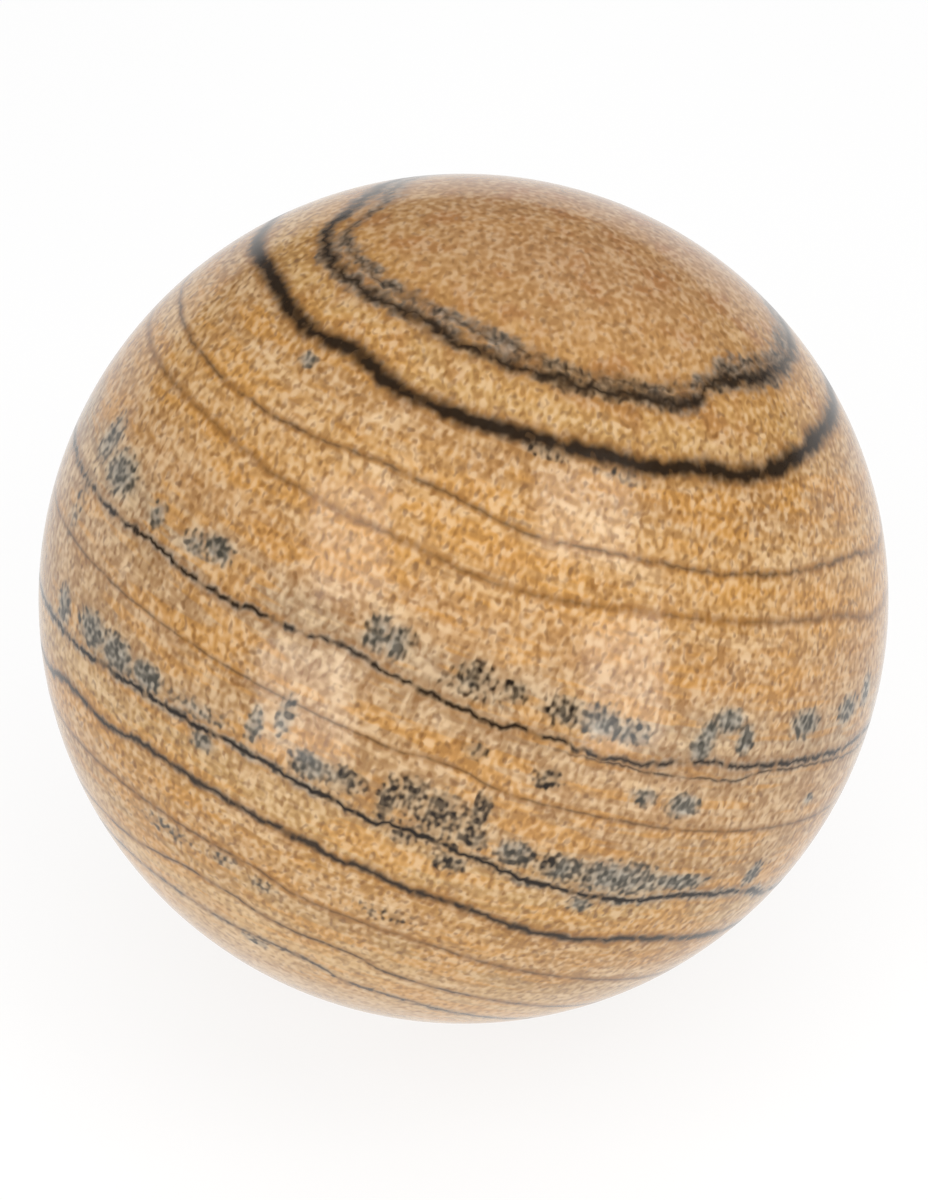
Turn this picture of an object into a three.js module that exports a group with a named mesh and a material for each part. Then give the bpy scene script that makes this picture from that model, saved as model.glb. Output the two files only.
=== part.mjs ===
// A polished sphere of banded picture jasper, ground from one block of stone.
// Units are millimetres and +Z is up. The origin is the middle of the small
// flat spot that the stone stands on.
import * as THREE from "three";

// Driving dimensions
const sphereDiameter = 60;
const restSpotDiameter = 8; // ground flat, so that the stone stands without rolling

// How finely the round surface is cut into facets
const facetsAround = 72;
const arcSteps = 9; // getPoints doubles this on an arc, so each arc gets 18 steps

// Worked out from the sizes above
const sphereRadius = sphereDiameter / 2;
const restSpotRadius = restSpotDiameter / 2;
const centreHeight = Math.sqrt(sphereRadius ** 2 - restSpotRadius ** 2);
const restSpotAngle = Math.atan2(-centreHeight, restSpotRadius);

// The honey tan that most of the stone shows, with a lapidary polish
function jasperMaterial() {
  return new THREE.MeshStandardMaterial({
    color: new THREE.Color(0xc89c66),
    roughness: 0.22,
    metalness: 0,
  });
}

// Half of the stone's outline, from the middle of the flat spot up to the top.
// Two arcs meet at the equator, so that the widest ring has the full diameter.
function stoneProfile() {
  const outline = new THREE.Path();
  outline.moveTo(0, 0);
  outline.lineTo(restSpotRadius, 0);
  outline.absarc(0, centreHeight, sphereRadius, restSpotAngle, 0);
  outline.absarc(0, centreHeight, sphereRadius, 0, Math.PI / 2);
  return outline.getPoints(arcSteps);
}

// The whole stone: the outline turned once round. A lathe turns about +Y, so
// the mesh is tipped to stand on +Z.
function jasperSphere() {
  const turned = new THREE.LatheGeometry(stoneProfile(), facetsAround);
  const stone = new THREE.Mesh(turned, jasperMaterial());
  stone.name = "jasper_sphere";
  stone.rotation.x = Math.PI / 2;
  return stone;
}

const ornament = new THREE.Group();
ornament.add(jasperSphere());

export default ornament;
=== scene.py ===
import math
import random

import bpy
from mathutils import Matrix, Vector


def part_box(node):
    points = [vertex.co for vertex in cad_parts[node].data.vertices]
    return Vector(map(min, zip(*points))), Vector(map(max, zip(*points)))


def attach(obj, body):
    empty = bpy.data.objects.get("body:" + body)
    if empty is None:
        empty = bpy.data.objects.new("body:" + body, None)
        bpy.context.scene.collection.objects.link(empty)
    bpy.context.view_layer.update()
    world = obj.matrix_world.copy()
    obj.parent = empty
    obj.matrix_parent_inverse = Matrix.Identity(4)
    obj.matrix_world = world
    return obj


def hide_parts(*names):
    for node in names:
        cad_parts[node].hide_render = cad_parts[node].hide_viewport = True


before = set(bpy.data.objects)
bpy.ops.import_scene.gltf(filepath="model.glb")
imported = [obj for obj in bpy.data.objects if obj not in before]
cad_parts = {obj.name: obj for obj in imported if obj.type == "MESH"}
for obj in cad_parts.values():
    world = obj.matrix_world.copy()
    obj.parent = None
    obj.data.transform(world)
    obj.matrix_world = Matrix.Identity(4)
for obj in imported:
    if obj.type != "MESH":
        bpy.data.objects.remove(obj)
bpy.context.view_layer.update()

mm = 0.001

# The photograph's frame, and where the stone's outline lies in it, in pixels
photo = dict(
    width=928,
    height=1200,
    stoneCentre=(463.5, 598.7),
    stoneRadius=425.0,
)

# Seen from in front and above, through a long lens that flattens little
viewpoint = dict(
    lens=100.0,  # mm, as is the film
    film=36.0,
    elevation=45.0,  # degrees
    nearest=0.01,  # m
)

# How the layers lie in the stone: the pole they are stacked along leans back and to the right
bedding = dict(
    lean=31.8,  # degrees from upright
    heading=49.3,  # degrees from the viewer's right towards the back
    fanAcross=-0.08,  # how much the layers fan out each way, so that none is quite flat
    fanBack=-0.14,
)

lowCorner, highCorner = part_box("jasper_sphere")
sphereRadius = (highCorner[0] - lowCorner[0]) / 2
centreHeight = highCorner[2] - sphereRadius
sphereCentre = Vector((0, 0, centreHeight))
radiusMm = sphereRadius / mm


def addObject(name, data):
    made = bpy.data.objects.new(name, data)
    bpy.context.scene.collection.objects.link(made)
    return made


# Camera and the photograph's lines of sight

def viewAxes():
    lift = math.radians(viewpoint["elevation"])
    toCamera = Vector((0, -math.cos(lift), math.sin(lift)))
    right = Vector((1, 0, 0))
    up = Vector((0, math.sin(lift), math.cos(lift)))
    return right, up, toCamera


focalPixels = viewpoint["lens"] / viewpoint["film"] * photo["height"]
halfAngle = math.atan(photo["stoneRadius"] / focalPixels)
cameraDistance = sphereRadius / math.sin(halfAngle)
viewRight, viewUp, viewBack = viewAxes()
cameraSpot = sphereCentre + viewBack * cameraDistance


def sightLine(pixel):
    across = (pixel[0] - photo["stoneCentre"][0]) / focalPixels
    down = (pixel[1] - photo["stoneCentre"][1]) / focalPixels
    return (viewRight * across - viewUp * down - viewBack).normalized()


# Where a line of sight meets the stone, measured from the stone's centre
def stoneSpot(pixel):
    ray = sightLine(pixel)
    start = cameraSpot - sphereCentre
    along = ray.dot(start)
    inside = along ** 2 - (start.length_squared - sphereRadius ** 2)
    return start + ray * (-along - math.sqrt(max(inside, 0)))


def makeCamera():
    data = bpy.data.cameras.new("photographView")
    data.lens = viewpoint["lens"]
    data.sensor_width = viewpoint["film"]
    data.clip_start = viewpoint["nearest"]
    camera = addObject("photographView", data)
    offCentreX = photo["width"] / 2 - photo["stoneCentre"][0]
    offCentreY = photo["height"] / 2 - photo["stoneCentre"][1]
    slide = (viewRight * offCentreX - viewUp * offCentreY) * cameraDistance / focalPixels
    turn = Matrix((viewRight, viewUp, viewBack)).transposed()
    camera.matrix_world = Matrix.Translation(cameraSpot + slide) @ turn.to_4x4()
    bpy.context.scene.camera = camera


# The bedding frame: across to the viewer's right, back into the stone, and up the pole

def beddingAxes():
    lean = math.radians(bedding["lean"])
    heading = math.radians(bedding["heading"])
    sideways = math.sin(lean)
    pole = Vector((sideways * math.cos(heading), sideways * math.sin(heading), math.cos(lean)))
    across = (viewRight - pole * pole.dot(viewRight)).normalized()
    return Matrix((across, pole.cross(across), pole)).transposed()


beddingTurn = beddingAxes()


# A spot on the stone in the bedding frame, in millimetres
def inBedding(spot):
    return beddingTurn.transposed() @ spot / mm


def layerHeight(place):
    return place.z * (1 + (bedding["fanAcross"] * place.x + bedding["fanBack"] * place.y) / radiusMm)


# Degrees round the pole, with 0 towards the viewer and 90 to the right
def turnRound(place):
    return math.degrees(math.atan2(place.x, -place.y))


# Those degrees as a share of a full turn, with a half towards the viewer
def turnShare(degrees):
    return degrees / 360 + 0.5


# Small helpers for node trees

def addNode(tree, kind, **settings):
    made = tree.nodes.new(kind)
    for name, value in settings.items():
        setattr(made, name, value)
    return made


# Links a socket to another node's output, or sets its value
def feed(tree, socket, source):
    if isinstance(source, bpy.types.NodeSocket):
        tree.links.new(source, socket)
    else:
        socket.default_value = source


def feedInOrder(tree, made, values):
    for socket, value in zip(made.inputs, values):
        feed(tree, socket, value)


def calc(tree, operation, *values):
    made = addNode(tree, "ShaderNodeMath", operation=operation)
    feedInOrder(tree, made, values)
    return made.outputs["Value"]


def vectorCalc(tree, operation, *values):
    made = addNode(tree, "ShaderNodeVectorMath", operation=operation)
    feedInOrder(tree, made, values)
    return made.outputs["Value" if operation in ("DISTANCE", "DOT_PRODUCT") else "Vector"]


# Goes from one value to another as the source crosses a span
def remap(tree, source, span, values, course="LINEAR"):
    made = addNode(tree, "ShaderNodeMapRange", interpolation_type=course)
    feedInOrder(tree, made, (source, *span, *values))
    return made.outputs["Result"]


# The same, eased at both ends
def ease(tree, source, span, values=(0.0, 1.0)):
    return remap(tree, source, span, values, "SMOOTHSTEP")


# Moves a value's middle from a half to another place, and scales its swing about it
def swing(tree, source, size=1.0, middle=0.0):
    return calc(tree, "MULTIPLY_ADD", calc(tree, "SUBTRACT", source, 0.5), size, middle)


def blendColour(tree, amount, under, over):
    made = addNode(tree, "ShaderNodeMix", data_type="RGBA", clamp_factor=True)
    feed(tree, made.inputs["Factor"], amount)
    feed(tree, made.inputs["A"], under)
    feed(tree, made.inputs["B"], over)
    return made.outputs["Result"]


def noise(tree, place, perMm, detail=0.0, roughness=0.5, stretch=(1, 1, 1), shift=(0, 0, 0)):
    made = addNode(tree, "ShaderNodeTexNoise", noise_dimensions="3D")
    feed(tree, made.inputs["Vector"], vectorCalc(tree, "MULTIPLY_ADD", place, stretch, shift))
    made.inputs["Scale"].default_value = perMm
    made.inputs["Detail"].default_value = detail
    made.inputs["Roughness"].default_value = roughness
    return made.outputs["Fac"]


def opaque(rgb):
    return (*rgb, 1.0)


# A node group with named sockets: usual values for its inputs, kinds for its outputs
def newGroup(name, inputs, outputs):
    kinds = dict(value="NodeSocketFloat", vector="NodeSocketVector", colour="NodeSocketColor")
    group = bpy.data.node_groups.new(name, "ShaderNodeTree")
    for label, usual in inputs.items():
        kind = "value" if isinstance(usual, float) else "vector"
        socket = group.interface.new_socket(name=label, in_out="INPUT", socket_type=kinds[kind])
        socket.default_value = usual
    for label, kind in outputs.items():
        group.interface.new_socket(name=label, in_out="OUTPUT", socket_type=kinds[kind])
    return group, group.nodes.new("NodeGroupInput").outputs, group.nodes.new("NodeGroupOutput").inputs


def useGroup(tree, group, values):
    made = addNode(tree, "ShaderNodeGroup", node_tree=group)
    for name, value in values.items():
        feed(tree, made.inputs[name], value)
    return made.outputs


# The stone's body: a cube's grid swelled into an even ball, and ground flat underneath

body = dict(
    name="polished_sphere",
    squaresAlong=96,  # along each edge of the cube
    bakeMap="OFBake",
    bakeMargin=0.004,  # kept clear round each of the ball's six sides, as a share of the side
)


def makeGroundSphereTree():
    tree = bpy.data.node_groups.new("groundSphere", "GeometryNodeTree")
    inputs = dict(
        Radius="NodeSocketFloat",
        Centre="NodeSocketFloat",
        Squares="NodeSocketInt",
        Material="NodeSocketMaterial",
    )
    for label, kind in inputs.items():
        tree.interface.new_socket(name=label, in_out="INPUT", socket_type=kind)
    tree.interface.new_socket(name="Geometry", in_out="OUTPUT", socket_type="NodeSocketGeometry")
    given = tree.nodes.new("NodeGroupInput").outputs
    cube = addNode(tree, "GeometryNodeMeshCube")
    cube.inputs["Size"].default_value = (2, 2, 2)  # from -1 to 1 each way
    corners = calc(tree, "ADD", given["Squares"], 1.0)
    for label in ("Vertices X", "Vertices Y", "Vertices Z"):
        feed(tree, cube.inputs[label], corners)

    # even squares: each corner's place on the cube is read as an angle
    place = addNode(tree, "GeometryNodeInputPosition").outputs["Position"]
    angle = vectorCalc(tree, "MULTIPLY", place, (math.pi / 4,) * 3)
    outward = vectorCalc(tree, "NORMALIZE", vectorCalc(tree, "TANGENT", angle))
    ball = addNode(tree, "ShaderNodeVectorMath", operation="SCALE")
    feed(tree, ball.inputs[0], outward)
    feed(tree, ball.inputs["Scale"], given["Radius"])
    lift = addNode(tree, "ShaderNodeCombineXYZ")
    feed(tree, lift.inputs["Z"], given["Centre"])
    lifted = vectorCalc(tree, "ADD", ball.outputs["Vector"], lift.outputs["Vector"])
    lowest = (-1, -1, 0)  # free sideways, and level with the flat spot
    ground = vectorCalc(tree, "MAXIMUM", lifted, lowest)

    shape = addNode(tree, "GeometryNodeSetPosition")
    feed(tree, shape.inputs["Position"], ground)
    smooth = addNode(tree, "GeometryNodeSetShadeSmooth")
    real = addNode(tree, "GeometryNodeRealizeInstances")
    finish = addNode(tree, "GeometryNodeSetMaterial")
    feed(tree, finish.inputs["Material"], given["Material"])

    geometry = cube.outputs["Mesh"]
    for step in (shape, smooth, real, finish):
        feed(tree, step.inputs["Geometry"], geometry)
        geometry = step.outputs["Geometry"]
    feed(tree, addNode(tree, "NodeGroupOutput").inputs["Geometry"], geometry)
    return tree


# Lays the ball's six sides in a three by two grid, so that a bake wastes little of its picture
def mapForBaking(mesh):
    layer = mesh.uv_layers.new(name=body["bakeMap"])
    margin = body["bakeMargin"]
    axes = range(3)
    columns, rows = 3, 2  # a column for each axis, and a row for each way along it
    for face in mesh.polygons:
        middle = face.center - sphereCentre
        axis = max(axes, key=lambda i: abs(middle[i]))
        column, row = axis, int(middle[axis] > 0)
        others = [i for i in axes if i != axis]
        for corner in face.loop_indices:
            spot = mesh.vertices[mesh.loops[corner].vertex_index].co - sphereCentre
            shares = [0.5 + math.atan(spot[i] / abs(spot[axis])) * 2 / math.pi for i in others]
            across, up = (margin + (1 - 2 * margin) * share for share in shares)
            layer.uv[corner].vector = ((column + across) / columns, (row + up) / rows)


def makeStone(material):
    holder = addObject("groundSphereHolder", bpy.data.meshes.new("groundSphereHolder"))
    modifier = holder.modifiers.new("groundSphere", "NODES")
    tree = makeGroundSphereTree()
    modifier.node_group = tree
    settings = dict(
        Radius=sphereRadius,
        Centre=centreHeight,
        Squares=body["squaresAlong"],
        Material=material,
    )
    for item in tree.interface.items_tree:
        if item.in_out == "INPUT":
            modifier[item.identifier] = settings[item.name]
    ready = holder.evaluated_get(bpy.context.evaluated_depsgraph_get())
    mesh = bpy.data.meshes.new_from_object(ready)
    mesh.name = body["name"]
    holder.modifiers.remove(modifier)
    bpy.data.objects.remove(holder)
    mapForBaking(mesh)
    return addObject(body["name"], mesh)


# Sand grain, packed close: a fine cream net, brown flecks, dark pepper and a few round grains.
# Each pair says where in the noise a mark begins and where it is full.

grain = dict(
    stretch=(1.0, 0.68, 0.74),  # below one, the grains are longer that way
    broad=dict(perMm=0.62, detail=2.0, roughness=1.0),
    fine=dict(perMm=2.5, shift=(3, 1, 8)),
    fineShare=1.08,  # of the fine noise, laid over the broad
    twigs=dict(perMm=2.9, shift=(1, 6, 2)),
    roundPerMm=1.5,
    roundBend=0.35,  # how far the fine noise bends the round grains
    roundSize=(0.45, 0.12),
    roundShare=(0.55, 0.7),  # the share of them that shows
    net=(0.4, 0.86),
    flecks=(0.54, 0.16),
    pepper=(0.5, 0.85),
)


def makeGrainGroup():
    outputs = dict.fromkeys(("Broad", "Fine", "Twigs", "Net", "Flecks", "Pepper", "Rounds"), "value")
    group, given, out = newGroup("sandGrain", {"Place": (0, 0, 0)}, outputs)
    place = vectorCalc(group, "MULTIPLY", given["Place"], grain["stretch"])
    broad = noise(group, place, **grain["broad"])
    fine = noise(group, place, **grain["fine"])
    twigs = noise(group, place, **grain["twigs"])
    mixed = calc(group, "ADD", broad, swing(group, fine, grain["fineShare"]))
    bend = calc(group, "MULTIPLY", fine, grain["roundBend"])
    cells = addNode(group, "ShaderNodeTexVoronoi")
    cells.inputs["Scale"].default_value = grain["roundPerMm"]
    feed(group, cells.inputs["Vector"], vectorCalc(group, "ADD", place, bend))
    rounds = ease(group, cells.outputs["Distance"], grain["roundSize"])
    chance = vectorCalc(group, "DOT_PRODUCT", cells.outputs["Color"], (1, 0, 0))  # each cell's red
    kept = ease(group, chance, grain["roundShare"])
    feed(group, out["Broad"], broad)
    feed(group, out["Fine"], fine)
    feed(group, out["Twigs"], twigs)
    feed(group, out["Net"], ease(group, mixed, grain["net"]))
    feed(group, out["Flecks"], ease(group, mixed, grain["flecks"]))
    feed(group, out["Pepper"], ease(group, twigs, grain["pepper"]))
    feed(group, out["Rounds"], calc(group, "MULTIPLY", rounds, kept))
    return group


# The ground colour, layer by layer, in linear light and millimetres up the bedding pole.
# A pair named From says where in the noise a tone begins and where it is full, and one
# named Strength how much it shows at the two ends.

ground = dict(
    layers=[  # from the lowest to the highest
        (-29.0, (0.51, 0.31, 0.14)),
        (-21.0, (0.57, 0.36, 0.16)),
        (-17.5, (0.45, 0.27, 0.11)),
        (-15.0, (0.49, 0.28, 0.11)),
        (-12.5, (0.46, 0.245, 0.075)),
        (-9.5, (0.49, 0.30, 0.12)),
        (-5.0, (0.42, 0.25, 0.11)),
        (0.0, (0.46, 0.28, 0.135)),
        (5.5, (0.42, 0.29, 0.17)),
        (9.0, (0.49, 0.28, 0.12)),
        (13.0, (0.54, 0.30, 0.11)),
        (17.0, (0.54, 0.31, 0.12)),
        (19.8, (0.44, 0.24, 0.09)),
        (22.5, (0.51, 0.30, 0.11)),
        (25.5, (0.50, 0.27, 0.09)),
        (27.5, (0.45, 0.25, 0.10)),
        (29.5, (0.42, 0.23, 0.10)),
    ],
    orange=(0.58, 0.285, 0.068),
    pale=(0.69, 0.48, 0.27),
    cream=(0.79, 0.59, 0.38),
    brown=(0.20, 0.082, 0.023),
    violet=(0.17, 0.085, 0.042),
    rust=(0.36, 0.15, 0.05),
    rusts=dict(perMm=0.4, detail=1.0, shift=(8, 4, 6)),
    rustFrom=(0.5, 0.7),
    rustStrength=(0.15, 0.55),  # on the body, and on the cap
    clouds=dict(perMm=0.16, detail=2.0, roughness=0.6, stretch=(1, 1, 1.7), shift=(2, 5, 1)),
    cloudBend=3.0,  # how far a cloud carries the layer's colour up or down, in mm
    cloudWarmth=0.4,
    streaks=dict(perMm=0.9, detail=2.0, roughness=0.7, stretch=(0.1, 0.1, 1), shift=(0, 0, 4)),
    cap=(20.0, 26.0),  # the cap begins here: cut nearly along the layers, it shows few streaks
    capStreaks=(0.6, 0.1),  # below the cap and on it, as with the next pair
    capGold=(1.0, 0.3),
    orangeFrom=(0.49, 0.58),
    orangeStrength=(0.0, 0.62),
    paleFrom=(0.46, 0.36),
    paleStrength=(0.0, 0.5),
    tints=dict(perMm=0.8, shift=(5, 5, 1)),
    violetFrom=(0.4, 0.6),
    gentleTop=(23.0, 27.0),  # the grain shows less at the cap and at the foot
    gentleTopStrength=(1.0, 0.75),
    gentleFoot=(-22.0, -15.0),
    gentleFootStrength=(0.7, 1.0),
    netStrength=0.42,
    fleckStrength=0.45,
    pepperStrength=0.65,
    roundStrength=0.42,
)


def layerColour(tree, height):
    made = addNode(tree, "ShaderNodeValToRGB")
    ramp = made.color_ramp
    ramp.interpolation = "EASE"
    while len(ramp.elements) < len(ground["layers"]):
        ramp.elements.new(1.0)
    for stop, (level, rgb) in zip(ramp.elements, ground["layers"]):
        stop.position = 0.5 + level / radiusMm / 2
        stop.color = opaque(rgb)
    feed(tree, made.inputs["Fac"], calc(tree, "MULTIPLY_ADD", height, 0.5 / radiusMm, 0.5))
    return made.outputs["Color"]


def makeGroundGroup():
    inputs = {"Place": (0, 0, 0)}
    inputs.update(dict.fromkeys(("Height", "Net", "Flecks", "Pepper", "Rounds"), 0.0))
    group, given, out = newGroup("layeredGround", inputs, {"Colour": "colour"})
    place, height = given["Place"], given["Height"]
    clouds = noise(group, place, **ground["clouds"])
    streaks = noise(group, place, **ground["streaks"])
    streaks = swing(group, streaks, ease(group, height, ground["cap"], ground["capStreaks"]), 0.5)
    colour = layerColour(group, swing(group, clouds, ground["cloudBend"], height))
    warm = swing(group, clouds, ground["cloudWarmth"], streaks)
    capped = ease(group, height, ground["cap"])
    orange = ease(group, warm, ground["orangeFrom"], ground["orangeStrength"])
    orange = calc(group, "MULTIPLY", orange, remap(group, capped, (0.0, 1.0), ground["capGold"]))
    colour = blendColour(group, orange, colour, opaque(ground["orange"]))
    pale = ease(group, warm, ground["paleFrom"], ground["paleStrength"])
    colour = blendColour(group, pale, colour, opaque(ground["pale"]))
    rust = ease(group, noise(group, place, **ground["rusts"]), ground["rustFrom"])
    rust = calc(group, "MULTIPLY", rust, remap(group, capped, (0.0, 1.0), ground["rustStrength"]))
    colour = blendColour(group, rust, colour, opaque(ground["rust"]))

    # the grain over it, in four kinds of mark
    gentleTop = ease(group, height, ground["gentleTop"], ground["gentleTopStrength"])
    gentleFoot = ease(group, height, ground["gentleFoot"], ground["gentleFootStrength"])
    gentle = calc(group, "MULTIPLY", gentleTop, gentleFoot)
    tint = ease(group, noise(group, place, **ground["tints"]), ground["violetFrom"])
    dark = blendColour(group, tint, opaque(ground["brown"]), opaque(ground["violet"]))
    marks = (
        (given["Net"], ground["netStrength"], opaque(ground["cream"])),
        (given["Flecks"], ground["fleckStrength"], opaque(ground["brown"])),
        (given["Pepper"], ground["pepperStrength"], dark),
        (given["Rounds"], ground["roundStrength"], dark),
    )
    for mark, strength, tone in marks:
        amount = calc(group, "MULTIPLY", mark, calc(group, "MULTIPLY", gentle, strength))
        colour = blendColour(group, amount, colour, tone)
    feed(group, out["Colour"], colour)
    return group


# The seams: traced on the photograph, in its pixels, where they cross the side that shows,
# and carried on level round the back. Each is a dark line with soft edges, a mossy fringe
# along it and a brown shade round it. It waves in ripples, lumps and jags, from broad to fine,
# and whole is what stays of it where it breaks. Widths and waves are in millimetres.

seams = dict(
    outerBand=dict(
        trace=[(258, 240), (275, 280), (300, 320), (330, 340), (360, 355), (400, 390), (470, 420),
               (530, 437), (600, 455), (640, 465), (700, 470), (740, 475), (770, 470), (800, 455),
               (830, 420)],
        halfWidth=0.43, soft=0.34, ripple=0.3, lumps=0.55, jagged=0.1, whole=0.9, dark=0.97,
        fringeWidth=0.5, fringe=0.22, shadeWidth=0.7, shade=0.6),
    innerBand=dict(
        trace=[(375, 190), (325, 240), (350, 280), (420, 320), (500, 360), (560, 380), (600, 390),
               (650, 398), (680, 405), (720, 380), (770, 375), (790, 345)],
        halfWidth=0.3, soft=0.34, ripple=0.6, lumps=0.65, jagged=0.1, whole=0.8, dark=0.95,
        fringeWidth=0.5, fringe=0.5, shadeWidth=0.8, shade=0.6),
    innerStrand=dict(
        trace=[(385, 200), (345, 240), (375, 275), (440, 312), (510, 345), (560, 368), (610, 382),
               (660, 388), (700, 385), (740, 365), (775, 355), (780, 335)],
        halfWidth=0.15, soft=0.27, ripple=0.7, lumps=0.7, jagged=0.1, whole=0.5, dark=0.72,
        fringeWidth=0.6, fringe=0.55, shadeWidth=0.7, shade=0.65),
    upperHairline=dict(
        trace=[(180, 300), (215, 370), (300, 430), (420, 480), (545, 540), (585, 548), (640, 560),
               (700, 572), (760, 575), (840, 560), (880, 540)],
        halfWidth=0.09, soft=0.15, ripple=0.45, lumps=0.25, jagged=0.16, whole=0.2, dark=0.6,
        fringeWidth=0.2, fringe=0.2, shadeWidth=0.4, shade=0.6),
    lowerHairline=dict(
        trace=[(150, 340), (200, 410), (300, 490), (400, 540), (500, 585), (560, 600), (640, 612),
               (740, 622), (820, 618), (885, 600)],
        halfWidth=0.1, soft=0.16, ripple=0.45, lumps=0.25, jagged=0.16, whole=0.2, dark=0.35,
        fringeWidth=0.2, fringe=0.1, shadeWidth=0.45, shade=0.6),
    firstSeam=dict(
        trace=[(91, 485), (118, 517), (156, 546), (198, 582), (262, 614), (304, 635), (346, 647),
               (380, 670), (425, 691), (475, 715), (498, 727), (511, 723), (528, 731), (566, 744),
               (612, 760), (671, 763), (713, 762), (745, 766), (800, 760), (850, 744)],
        halfWidth=0.18, soft=0.17, ripple=0.5, lumps=0.55, jagged=0.2, whole=0.3, dark=0.95,
        fringeWidth=0.5, fringe=0.45, shadeWidth=0.8, shade=0.5),
    firstSeamTwin=dict(
        trace=[(612, 764), (640, 771), (671, 776), (709, 779), (734, 780), (772, 770), (808, 765),
               (833, 759), (856, 748)],
        halfWidth=0.09, soft=0.14, ripple=0.4, lumps=0.3, jagged=0.16, whole=0.3, dark=0.85,
        fringeWidth=0.4, fringe=0.3, shadeWidth=0.5, shade=0.3,
        only=(12, 75)),  # between these turns round the pole
    betweenLine=dict(
        trace=[(353, 731), (395, 750), (437, 761), (485, 784), (531, 801), (605, 818), (679, 830),
               (738, 831), (808, 818)],
        halfWidth=0.08, soft=0.14, ripple=0.25, lumps=0.15, jagged=0.06, whole=0.4, dark=0.55,
        fringeWidth=0.3, fringe=0.2, shadeWidth=0.4, shade=0.5),
    secondSeam=dict(
        trace=[(57, 622), (80, 647), (129, 683), (198, 726), (228, 742), (259, 759), (299, 783),
               (337, 802), (369, 820), (401, 828), (447, 847), (489, 864), (542, 885), (601, 898),
               (654, 898), (707, 894), (753, 890), (772, 888)],
        halfWidth=0.2, soft=0.17, ripple=0.45, lumps=0.55, jagged=0.2, whole=0.5, dark=1.0,
        fringeWidth=0.7, fringe=0.6, shadeWidth=0.8, shade=0.4),
    thirdSeam=dict(
        trace=[(49, 666), (72, 687), (99, 717), (156, 753), (198, 782), (230, 801), (268, 824),
               (300, 838), (338, 860), (374, 873), (395, 885), (447, 902), (498, 921), (553, 936),
               (601, 940), (665, 938), (717, 932)],
        halfWidth=0.26, soft=0.25, ripple=0.45, lumps=0.6, jagged=0.2, whole=0.65, dark=0.95,
        fringeWidth=0.35, fringe=0.3, shadeWidth=0.7, shade=0.6),
    dimLine=dict(
        trace=[(245, 862), (304, 899), (374, 927), (426, 944), (485, 963)],
        halfWidth=0.08, soft=0.16, ripple=0.3, lumps=0.15, jagged=0.12, whole=0.3, dark=0.6,
        fringeWidth=0.3, fringe=0.2, shadeWidth=0.5, shade=0.65),
    lowLine=dict(
        trace=[(110, 818), (160, 854), (213, 883), (262, 915), (300, 934), (342, 950), (374, 967),
               (409, 980)],
        halfWidth=0.09, soft=0.13, ripple=0.25, lumps=0.15, jagged=0.12, whole=0.4, dark=0.78,
        fringeWidth=0.3, fringe=0.3, shadeWidth=0.45, shade=0.6),
    greyLine=dict(
        trace=[(173, 887), (219, 917), (259, 938), (297, 955), (335, 976), (353, 984), (395, 997),
               (447, 1011)],
        halfWidth=0.13, soft=0.14, ripple=0.25, lumps=0.15, jagged=0.16, whole=0.4, dark=0.8,
        fringeWidth=0.5, fringe=0.5, shadeWidth=0.5, shade=0.4),
)

# What all the seams share: their tones, their waves, and where they swell, thin out and break
allSeams = dict(
    black=(0.014, 0.008, 0.004),
    brown=(0.25, 0.105, 0.024),
    wander=2.0,  # how far a seam's curve may carry it from its level, in mm either way
    ripple=dict(perMm=0.75, detail=2.0, stretch=(1, 1, 0.35)),
    lumps=dict(perMm=1.3, detail=1.0, stretch=(1, 1, 0.4), shift=(6, 2, 3)),
    swell=dict(perMm=0.55, detail=1.0, stretch=(1, 1, 0.5), shift=(7, 3, 5)),
    swellSize=1.3,
    swellMiddle=1.0,  # as a share of a seam's own width
    breaks=dict(perMm=0.6, detail=2.0, roughness=0.7, stretch=(1, 1, 0.4), shift=(-4, 9, 2)),
    breaksFrom=(0.35, 0.6),
    turnFade=0.02,  # where a seam ends part way round, as a share of a full turn
)


# A seam's mean height up the pole, and how far above it the seam lies at each turn
def readTrace(trace):
    places = [inBedding(stoneSpot(pixel)) for pixel in trace]
    heights = [layerHeight(place) for place in places]
    level = sum(heights) / len(heights)
    rises = sorted((turnRound(place), height - level) for place, height in zip(places, heights))
    return level, rises


# How high up the pole a seam lies: a curve over one full turn that carries it along its trace
def seamHeight(tree, turn, level, rises):
    made = addNode(tree, "ShaderNodeFloatCurve")
    points = made.mapping.curves[0].points
    wander = allSeams["wander"]
    middle = 0.5  # of the curve, where the seam lies at its level
    stops = [(0.0, middle)]
    for degrees, rise in rises:
        stops.append((turnShare(degrees), middle + rise / wander / 2))
    stops.append((1.0, middle))
    while len(points) < len(stops):
        points.new(middle, middle)
    for point, (x, y) in zip(points, stops):
        point.location = (x, y)
        point.handle_type = "AUTO_CLAMPED"
    made.mapping.update()
    feed(tree, made.inputs["Value"], turn)
    return remap(tree, made.outputs["Value"], (0.0, 1.0), (level - wander, level + wander))


# One between two turns round the pole, and nothing past them
def partWayRound(tree, turn, span):
    start, end = (turnShare(degrees) for degrees in span)
    fade = allSeams["turnFade"]
    begun = ease(tree, turn, (start - fade, start + fade))
    unended = ease(tree, turn, (end - fade, end + fade), (1.0, 0.0))
    return calc(tree, "MULTIPLY", begun, unended)


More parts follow.
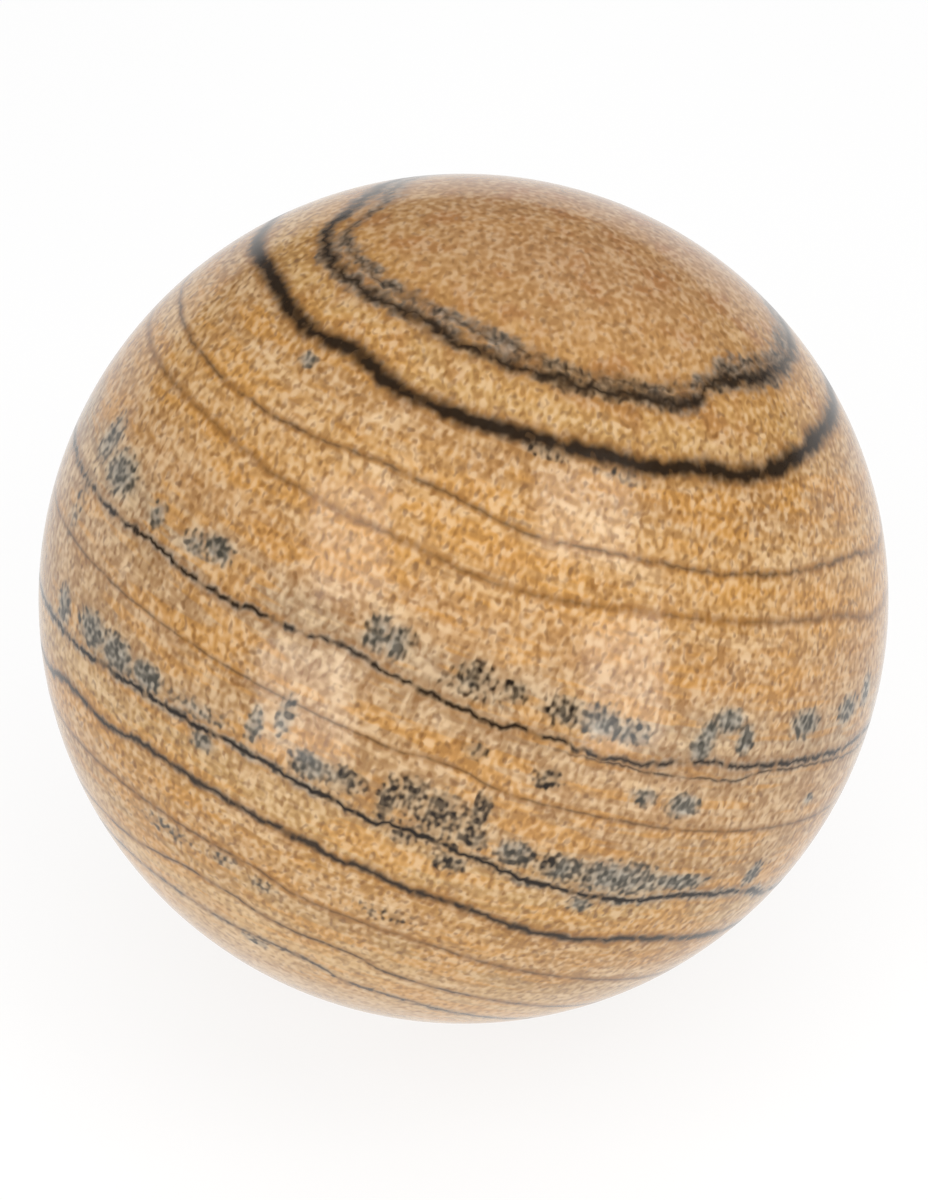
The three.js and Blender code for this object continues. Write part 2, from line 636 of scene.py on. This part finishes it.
def makeWavesGroup():
    outputs = dict.fromkeys(("Ripple", "Lumps", "Swell", "Breaks"), "value")
    group, given, out = newGroup("seamWaves", {"Place": (0, 0, 0)}, outputs)
    place = given["Place"]
    feed(group, out["Ripple"], swing(group, noise(group, place, **allSeams["ripple"])))
    feed(group, out["Lumps"], swing(group, noise(group, place, **allSeams["lumps"])))
    swell = noise(group, place, **allSeams["swell"])
    feed(group, out["Swell"], swing(group, swell, allSeams["swellSize"], allSeams["swellMiddle"]))
    breaks = noise(group, place, **allSeams["breaks"])
    feed(group, out["Breaks"], ease(group, breaks, allSeams["breaksFrom"]))
    return group


# One seam: its dark line, the mossy fringe along it, and the brown shade round it
def makeSeamGroup():
    labels = (
        "Height", "Seam Height", "Ripple", "Ripple Size", "Lumps", "Lump Size", "Grain", "Jaggedness",
        "Half Width", "Swell", "Soft", "Breaks", "Wholeness", "Darkness",
        "Fringe Width", "Fringe Thickness", "Shade Width", "Shade Strength",
        "Line So Far", "Fringe So Far", "Shade So Far",
    )
    outputs = dict.fromkeys(("Line", "Fringe", "Shade"), "value")
    group, given, out = newGroup("seamLine", dict.fromkeys(labels, 0.0), outputs)
    off = calc(group, "SUBTRACT", given["Seam Height"], given["Height"])
    off = calc(group, "MULTIPLY_ADD", given["Ripple"], given["Ripple Size"], off)
    off = calc(group, "MULTIPLY_ADD", given["Lumps"], given["Lump Size"], off)
    off = calc(group, "MULTIPLY_ADD", given["Grain"], given["Jaggedness"], off)
    width = calc(group, "MULTIPLY", given["Half Width"], given["Swell"])
    away = calc(group, "SUBTRACT", calc(group, "ABSOLUTE", off), width)  # from the edge of the line
    within = calc(group, "MULTIPLY", given["Soft"], -1.0)
    line = ease(group, away, (within, given["Soft"]), (given["Darkness"], 0.0))
    broken = calc(group, "SUBTRACT", 1.0, given["Wholeness"])
    present = remap(group, given["Breaks"], (0.0, broken), (given["Wholeness"], 1.0))
    line = calc(group, "MULTIPLY", line, present)
    feed(group, out["Line"], calc(group, "MAXIMUM", line, given["Line So Far"]))
    fringe = ease(group, away, (0.0, given["Fringe Width"]), (given["Fringe Thickness"], 0.0))
    feed(group, out["Fringe"], calc(group, "MAXIMUM", fringe, given["Fringe So Far"]))
    shade = ease(group, away, (0.0, given["Shade Width"]), (given["Shade Strength"], 0.0))
    feed(group, out["Shade"], calc(group, "MAXIMUM", shade, given["Shade So Far"]))
    return group


# Draws the seams one after another, each over those before it, and gives their levels too
def drawSeams(tree, height, turn, shared, fine):
    group = makeSeamGroup()
    rough = swing(tree, fine)
    drawn = dict(Line=0.0, Fringe=0.0, Shade=0.0)
    levels = {}
    for name, seam in seams.items():
        levels[name], rises = readTrace(seam["trace"])
        strengths = {
            "Darkness": seam["dark"],
            "Fringe Thickness": seam["fringe"],
            "Shade Strength": seam["shade"],
        }
        if "only" in seam:
            here = partWayRound(tree, turn, seam["only"])
            for label, value in strengths.items():
                strengths[label] = calc(tree, "MULTIPLY", here, value)
        values = {
            "Height": height,
            "Seam Height": seamHeight(tree, turn, levels[name], rises),
            "Ripple": shared["Ripple"],
            "Ripple Size": seam["ripple"],
            "Lumps": shared["Lumps"],
            "Lump Size": seam["lumps"],
            "Grain": rough,
            "Jaggedness": seam["jagged"],
            "Half Width": seam["halfWidth"],
            "Swell": shared["Swell"],
            "Soft": seam["soft"],
            "Breaks": shared["Breaks"],
            "Wholeness": seam["whole"],
            "Fringe Width": seam["fringeWidth"],
            "Shade Width": seam["shadeWidth"],
            "Line So Far": drawn["Line"],
            "Fringe So Far": drawn["Fringe"],
            "Shade So Far": drawn["Shade"],
        }
        drawn = useGroup(tree, group, {**values, **strengths})
    return drawn, levels


# Tufts of moss-like mineral: where each shows in the photograph, in its pixels, its half width
# and half height in millimetres, and how thick it grows

tufts = dict(
    farLeftAboveFirst=[
        ((112, 438), (1.8, 1.7), 0.75), ((122, 472), (2.0, 1.8), 0.85), ((80, 500), (1.4, 3.5), 0.35),
        ((158, 514), (0.8, 1.1), 0.75), ((196, 544), (1.2, 1.0), 0.7), ((218, 550), (1.5, 1.0), 0.82),
    ],
    middleAboveFirst=[
        ((378, 632), (1.1, 1.3), 0.8), ((400, 642), (1.2, 1.1), 0.9), ((476, 677), (1.3, 1.1), 0.98),
        ((516, 692), (1.1, 0.8), 0.85), ((470, 690), (3.0, 0.8), 0.4),
    ],
    rightAboveFirst=[
        ((566, 712), (1.5, 1.1), 0.95), ((602, 720), (1.6, 1.2), 0.95), ((634, 733), (1.2, 1.0), 0.9),
        ((600, 726), (4.5, 0.9), 0.6), ((702, 748), (0.9, 1.2), 0.95), ((710, 733), (0.7, 0.9), 0.95),
        ((730, 721), (1.4, 0.9), 1.0), ((746, 740), (0.8, 1.1), 1.0), ((806, 724), (2.2, 0.9), 0.9),
        ((848, 710), (1.7, 1.2), 0.9), ((866, 690), (1.0, 1.4), 0.85),
    ],
    betweenSeams=[
        ((476, 752), (0.8, 0.7), 0.8), ((548, 780), (1.2, 0.8), 0.8), ((644, 798), (1.4, 0.6), 0.75),
        ((684, 806), (1.6, 0.8), 1.0), ((808, 799), (0.7, 0.5), 0.75),
    ],
    leftAboveSecond=[
        ((64, 606), (1.1, 1.9), 0.9), ((92, 630), (1.8, 1.6), 0.95), ((116, 654), (2.0, 1.4), 1.0),
        ((146, 676), (1.8, 1.0), 1.0), ((200, 712), (4.0, 0.6), 0.5), ((254, 726), (0.6, 1.9), 0.75),
        ((286, 716), (0.6, 2.0), 0.8),
    ],
    middleAboveSecond=[
        ((308, 766), (1.5, 1.0), 1.05), ((344, 780), (1.6, 1.0), 1.0), ((388, 800), (0.9, 1.7), 1.0),
        ((412, 794), (1.2, 1.3), 0.9), ((440, 812), (1.6, 1.6), 0.85), ((470, 838), (1.2, 0.9), 1.0),
        ((480, 812), (0.7, 1.7), 1.05), ((440, 822), (4.2, 1.8), 0.6),
    ],
    rightAboveSecond=[
        ((516, 855), (1.6, 1.0), 1.0), ((556, 867), (1.9, 0.9), 1.08), ((612, 878), (2.2, 0.9), 1.08),
        ((680, 882), (2.6, 0.8), 1.02), ((752, 874), (1.0, 1.1), 0.95), ((610, 878), (7.0, 1.2), 0.85),
    ],
    belowSecond=[
        ((202, 741), (1.3, 0.7), 0.88), ((402, 836), (1.3, 0.6), 0.85), ((450, 862), (1.4, 0.8), 0.95),
        ((580, 904), (1.3, 0.6), 0.75),
    ],
    speckleBelowThird=[
        ((162, 825), (3.4, 1.0), 0.38), ((222, 858), (1.8, 0.8), 0.38), ((264, 886), (1.3, 0.7), 0.5),
        ((384, 915), (3.8, 0.8), 0.33),
    ],
    stray=[
        ((308, 360), (0.9, 0.5), 0.75), ((545, 452), (1.3, 0.5), 0.75), ((255, 940), (1.2, 0.7), 0.7),
        ((620, 476), (1.6, 0.6), 0.5),
    ],
)

# More of them for the side that the photograph does not show, strung along two of the seams
backTufts = dict(
    seed=11,
    count=12,
    along=("firstSeam", "secondSeam"),
    turns=(95, 265),  # in degrees round the pole
    above=(0.6, 1.6),  # the seam, in mm
    halfWidth=(0.8, 2.0),
    halfTall=(0.7, 1.4),
    thick=(0.6, 1.0),
)

# How the moss looks: specks that gather in clumps, over a stain, greyer and paler towards the sides of
# the face, where a painted sheen is laid over them
moss = dict(
    tuftShapes=(0.4, 0.8, 1.5, 4.0),  # how many times wider than tall
    tuftCore=0.15,  # where a tuft begins to thin and where it ends, in its own half sizes
    tuftReach=1.5,
    fringeGrows=(0.5, 1.0),
    clumps=(0.3, 0.52),
    clumpStrength=(0.6, 1.05),
    clumpShare=0.4,
    specks=(0.48, 1.0),
    speckStart=(0.05, 0.35),
    solidFrom=(0.3, 0.7),
    solid=(1.0, 0.8),
    fringeSpecks=0.55,  # the fringes are more of a stain, with fewer specks than the tufts
    # The moss's dark mineral, stain and cream as they are, and each again greyer and paler with a
    # painted sheen for the sides of the face
    warm=(0.016, 0.01, 0.006),  # the dark mineral in the middle of the face, and towards the sides
    mineralWithSheen=(0.056, 0.05, 0.038),
    warmStain=(0.36, 0.26, 0.16),
    stainWithSheen=(0.30, 0.29, 0.25),
    stainStrength=(0.0, 0.78),
    warmCream=ground["cream"],
    creamWithSheen=(0.6, 0.55, 0.47),
    creamStrength=0.28,
    # Where the painted sheen begins and where it is full, and how far blotches shift its edge
    sheenFrom=(0.1, 0.15),  # in turns away from the middle of the face
    blotches=dict(perMm=0.35, detail=1.0, shift=(9, 2, 2)),
    sheenBlotch=0.16,
)


def tuftsRoundTheBack(levels):
    draw = random.Random(backTufts["seed"])
    found = []
    while len(found) < backTufts["count"]:
        turn = math.radians(draw.uniform(*backTufts["turns"]))
        height = levels[draw.choice(backTufts["along"])] + draw.uniform(*backTufts["above"])
        ring = math.sqrt(radiusMm ** 2 - height ** 2)
        place = Vector((ring * math.sin(turn), -ring * math.cos(turn), height))
        half = (draw.uniform(*backTufts["halfWidth"]), draw.uniform(*backTufts["halfTall"]))
        found.append((place, half, draw.uniform(*backTufts["thick"])))
    return found


def makeTuftGroup():
    inputs = {"Place": (0, 0, 0), "Centre": (0, 0, 0)}
    inputs.update({"Core": 0.0, "Reach": 1.0, "Thickness": 1.0, "Moss So Far": 0.0})
    group, given, out = newGroup("mossTuft", inputs, {"Moss": "value"})
    away = vectorCalc(group, "DISTANCE", given["Place"], given["Centre"])
    tuft = ease(group, away, (given["Core"], given["Reach"]), (given["Thickness"], 0.0))
    feed(group, out["Moss"], calc(group, "MAXIMUM", tuft, given["Moss So Far"]))
    return group


# Every tuft is a ball in squeezed space, which shows it as wide and as tall as it grows.
# Tufts of like shape share one squeeze.
def growTufts(tree, place, levels):
    group = makeTuftGroup()
    squeezed = {}
    for wider in moss["tuftShapes"]:
        squeezed[wider] = vectorCalc(tree, "MULTIPLY", place, (1 / wider, 1 / wider, 1))
    placed = tuftsRoundTheBack(levels)
    for cluster in tufts.values():
        for pixel, half, thick in cluster:
            placed.append((inBedding(stoneSpot(pixel)), half, thick))
    grown = 0.0
    for centre, (halfWide, halfTall), thick in placed:
        wider = min(squeezed, key=lambda shape: abs(math.log(shape * halfTall / halfWide)))
        size = math.sqrt(halfWide * halfTall / wider)
        values = {
            "Place": squeezed[wider],
            "Centre": (centre.x / wider, centre.y / wider, centre.z),
            "Core": size * moss["tuftCore"],
            "Reach": size * moss["tuftReach"],
            "Thickness": thick,
            "Moss So Far": grown,
        }
        grown = useGroup(tree, group, values)["Moss"]
    print("tufts of moss grown:", len(placed))
    return grown


# Turns how thick the moss grows into dark specks, and says where a painted sheen greys it towards the
# sides of the face
def makeMossGroup():
    inputs = {"Place": (0, 0, 0)}
    inputs.update(dict.fromkeys(("Turn", "Moss", "Broad", "Fine", "Twigs"), 0.0))
    group, given, out = newGroup("mossSpecks", inputs, {"Specks": "value", "Painted Sheen": "value"})
    clump = ease(group, given["Broad"], moss["clumps"], moss["clumpStrength"])
    clump = calc(group, "MULTIPLY", clump, given["Moss"])
    specks = calc(group, "MULTIPLY_ADD", clump, moss["clumpShare"], given["Twigs"])
    specks = ease(group, specks, moss["specks"])
    specks = calc(group, "MULTIPLY", specks, ease(group, given["Moss"], moss["speckStart"]))
    solid = ease(group, given["Fine"], moss["solidFrom"], moss["solid"])
    specks = calc(group, "MULTIPLY", specks, solid)
    feed(group, out["Specks"], specks)
    # the painted sheen: strongest away from the middle of the face, its edge shifted by blotches
    blotch = noise(group, given["Place"], **moss["blotches"])
    sideways = calc(group, "ABSOLUTE", calc(group, "SUBTRACT", given["Turn"], 0.5))
    sideways = calc(group, "MULTIPLY_ADD", blotch, moss["sheenBlotch"], sideways)
    feed(group, out["Painted Sheen"], ease(group, sideways, moss["sheenFrom"]))
    return group


# The stone's place in the bedding frame in millimetres, the height up its pole, and the
# turn round it, from 0 at the back through 0.5 towards the viewer
def findBedding(tree):
    made = addNode(tree, "ShaderNodeMapping", vector_type="TEXTURE")
    feed(tree, made.inputs["Vector"], addNode(tree, "ShaderNodeTexCoord").outputs["Object"])
    made.inputs["Location"].default_value = sphereCentre
    made.inputs["Rotation"].default_value = beddingTurn.to_euler()
    made.inputs["Scale"].default_value = (mm, mm, mm)
    place = made.outputs["Vector"]
    parts = addNode(tree, "ShaderNodeSeparateXYZ")
    feed(tree, parts.inputs["Vector"], place)
    fanPerMm = (bedding["fanAcross"] / radiusMm, bedding["fanBack"] / radiusMm, 0)
    fan = calc(tree, "ADD", vectorCalc(tree, "DOT_PRODUCT", place, fanPerMm), 1.0)
    height = calc(tree, "MULTIPLY", parts.outputs["Z"], fan)
    towards = calc(tree, "MULTIPLY", parts.outputs["Y"], -1.0)
    turn = calc(tree, "ARCTAN2", parts.outputs["X"], towards)
    turn = calc(tree, "MULTIPLY_ADD", turn, 0.5 / math.pi, 0.5)
    return place, height, turn


# A high polish, a touch duller on the dark mineral, with faint undulations left by the polishing
polish = dict(
    roughness=0.10,
    dullerGrain=0.08,
    dullerSeam=0.06,
    refraction=1.54,
    reflection=0.22,
    pits=dict(perMm=3.0, detail=1.0),
    pitStrength=0.15,
    pitDepth=0.02 * mm,
)


# The stone's surface: its polish varies with the sand, and is duller on the seams' dark lines
def polishedSurface(tree, place, colour, fine, line):
    shine = calc(tree, "MULTIPLY_ADD", fine, polish["dullerGrain"], polish["roughness"])
    shine = calc(tree, "MULTIPLY_ADD", line, polish["dullerSeam"], shine)
    bump = addNode(tree, "ShaderNodeBump")
    bump.inputs["Strength"].default_value = polish["pitStrength"]
    bump.inputs["Distance"].default_value = polish["pitDepth"]
    feed(tree, bump.inputs["Height"], noise(tree, place, **polish["pits"]))
    surface = addNode(tree, "ShaderNodeBsdfPrincipled")
    surface.inputs["IOR"].default_value = polish["refraction"]
    surface.inputs["Specular IOR Level"].default_value = polish["reflection"]
    feed(tree, surface.inputs["Base Color"], colour)
    feed(tree, surface.inputs["Roughness"], shine)
    feed(tree, surface.inputs["Normal"], bump.outputs["Normal"])
    return surface.outputs["BSDF"]


def makeJasper():
    material = bpy.data.materials.new("pictureJasper")
    material.use_nodes = True
    tree = material.node_tree
    tree.nodes.clear()
    place, height, turn = findBedding(tree)
    sand = useGroup(tree, makeGrainGroup(), {"Place": place})
    shared = useGroup(tree, makeWavesGroup(), {"Place": place})
    values = {label: sand[label] for label in ("Net", "Flecks", "Pepper", "Rounds")}
    colour = useGroup(tree, makeGroundGroup(), {"Place": place, "Height": height, **values})["Colour"]
    drawn, levels = drawSeams(tree, height, turn, shared, sand["Fine"])
    print("seams drawn:", len(levels))

    # moss grows in the tufts and along the fringes of the seams
    fringe = remap(tree, shared["Breaks"], (0.0, 1.0), moss["fringeGrows"])
    fringe = calc(tree, "MULTIPLY", drawn["Fringe"], fringe)
    grown = growTufts(tree, place, levels)
    specked = calc(tree, "MAXIMUM", grown, calc(tree, "MULTIPLY", fringe, moss["fringeSpecks"]))
    grown = calc(tree, "MAXIMUM", grown, fringe)
    values = {label: sand[label] for label in ("Broad", "Fine", "Twigs")}
    mossy = useGroup(tree, makeMossGroup(), {"Place": place, "Turn": turn, "Moss": specked, **values})
    # the moss's stain and dark mineral, greyer and paler under the painted sheen towards the sides
    stain = blendColour(tree, mossy["Painted Sheen"], opaque(moss["warmStain"]), opaque(moss["stainWithSheen"]))
    mineral = blendColour(tree, mossy["Painted Sheen"], opaque(moss["warm"]), opaque(moss["mineralWithSheen"]))

    # laid over the ground from the faintest mark to the darkest
    colour = blendColour(tree, drawn["Shade"], colour, opaque(allSeams["brown"]))
    stained = ease(tree, grown, (0.0, 1.0), moss["stainStrength"])
    colour = blendColour(tree, stained, colour, stain)
    pale = calc(tree, "MULTIPLY", sand["Net"], calc(tree, "MULTIPLY", grown, moss["creamStrength"]))
    # and the moss's cream, under the same painted sheen
    cream = blendColour(tree, mossy["Painted Sheen"], opaque(moss["warmCream"]), opaque(moss["creamWithSheen"]))
    colour = blendColour(tree, pale, colour, cream)
    colour = blendColour(tree, mossy["Specks"], colour, mineral)
    colour = blendColour(tree, drawn["Line"], colour, opaque(allSeams["black"]))
    surface = polishedSurface(tree, place, colour, sand["Fine"], drawn["Line"])
    feed(tree, addNode(tree, "ShaderNodeOutputMaterial").inputs["Surface"], surface)
    return material


# Floor, light and surroundings, in metres

studio = dict(
    floorHalfWidth=4.0,
    floorColour=(0.18, 0.18, 0.18),
    floorGlow=0.815,
    floorGlowColour=(1.0, 1.0, 1.0),
    floorRoughness=0.9,
    floorReflection=0.1,
    surround=(0.12, 0.12, 0.12),
)


def makeFloor():
    half = studio["floorHalfWidth"]
    mesh = bpy.data.meshes.new("floor")
    corners = [(-half, -half, 0), (half, -half, 0), (half, half, 0), (-half, half, 0)]
    mesh.from_pydata(corners, [], [(0, 1, 2, 3)])
    material = bpy.data.materials.new("paleFloor")
    material.use_nodes = True
    surface = material.node_tree.nodes["Principled BSDF"]
    surface.inputs["Base Color"].default_value = opaque(studio["floorColour"])
    surface.inputs["Roughness"].default_value = studio["floorRoughness"]
    surface.inputs["Specular IOR Level"].default_value = studio["floorReflection"]
    surface.inputs["Emission Color"].default_value = opaque(studio["floorGlowColour"])
    surface.inputs["Emission Strength"].default_value = studio["floorGlow"]
    mesh.materials.append(material)
    floor = addObject("floor", mesh)


# The way in which the polished stone throws back the sight line of a pixel
def mirroredWay(pixel):
    ray = sightLine(pixel)
    normal = stoneSpot(pixel).normalized()
    return ray - normal * 2 * ray.dot(normal)


# A light whose power follows from how bright it looks and its area
def addLight(name, data, bright, area, place, turn):
    data.energy = bright * math.pi * area
    light = addObject(name, data)
    light.matrix_world = Matrix.Translation(place) @ turn.to_4x4()
    light.visible_camera = False
    return light


# Each pane of light is placed so that the polish shows it where the photograph does:
# the middle of its reflection and its size in pixels, and how far off it stands in metres
panes = dict(
    upperLeft=dict(at=(348, 538), across=80, down=125, away=0.30, bright=4.2),
    lowerLeft=dict(at=(302, 705), across=95, down=118, away=0.15, bright=4.8),
    upperRight=dict(at=(588, 515), across=100, down=92, away=0.30, bright=4.2),
    lowerRight=dict(at=(627, 685), across=85, down=140, away=0.15, bright=4.8),
)


def makePane(name, pane):
    def spot(acrossShare, downShare):
        pixel = (pane["at"][0] + acrossShare * pane["across"], pane["at"][1] + downShare * pane["down"])
        return sphereCentre + stoneSpot(pixel) + mirroredWay(pixel) * pane["away"]

    middle = spot(0, 0)
    facing = (middle - sphereCentre).normalized()
    upward = spot(0, -0.5) - spot(0, 0.5)
    data = bpy.data.lights.new(name, "AREA")
    data.shape = "RECTANGLE"
    data.size = (spot(0.5, 0) - spot(-0.5, 0)).length
    data.size_y = upward.length
    upward = (upward - facing * upward.dot(facing)).normalized()
    turn = Matrix((upward.cross(facing), upward, facing)).transposed()
    addLight(name, data, pane["bright"], data.size * data.size_y, middle, turn)


# A broad soft light above, too even to show in the polish
overhead = dict(at=(0.08, 0.25, 0.75), across=1.2, bright=1.6)


def makeOverhead():
    data = bpy.data.lights.new("overhead", "AREA")
    data.shape = "DISK"
    data.size = overhead["across"]
    middle = Vector(overhead["at"])
    turn = (middle - sphereCentre).to_track_quat("Z", "Y").to_matrix()
    area = math.pi * (overhead["across"] / 2) ** 2
    light = addLight("overhead", data, overhead["bright"], area, middle, turn)
    light.visible_glossy = False


def makeSurroundings():
    world = bpy.data.worlds.new("darkRoom")
    world.use_nodes = True
    back = world.node_tree.nodes["Background"]
    back.inputs["Color"].default_value = opaque(studio["surround"])
    bpy.context.scene.world = world
    bpy.context.scene.view_settings.view_transform = "Standard"
    bpy.context.scene.view_settings.look = "None"


makeCamera()
print("camera placed, %.0f mm from the stone's centre" % (cameraDistance / mm))

stone = makeStone(makeJasper())
print("stone made, with", len(stone.data.polygons), "faces")

makeFloor()
for name, pane in panes.items():
    makePane(name, pane)
makeOverhead()
makeSurroundings()
print("floor,", len(panes) + 1, "lights and surroundings placed")

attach(stone, "root")
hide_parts("jasper_sphere")
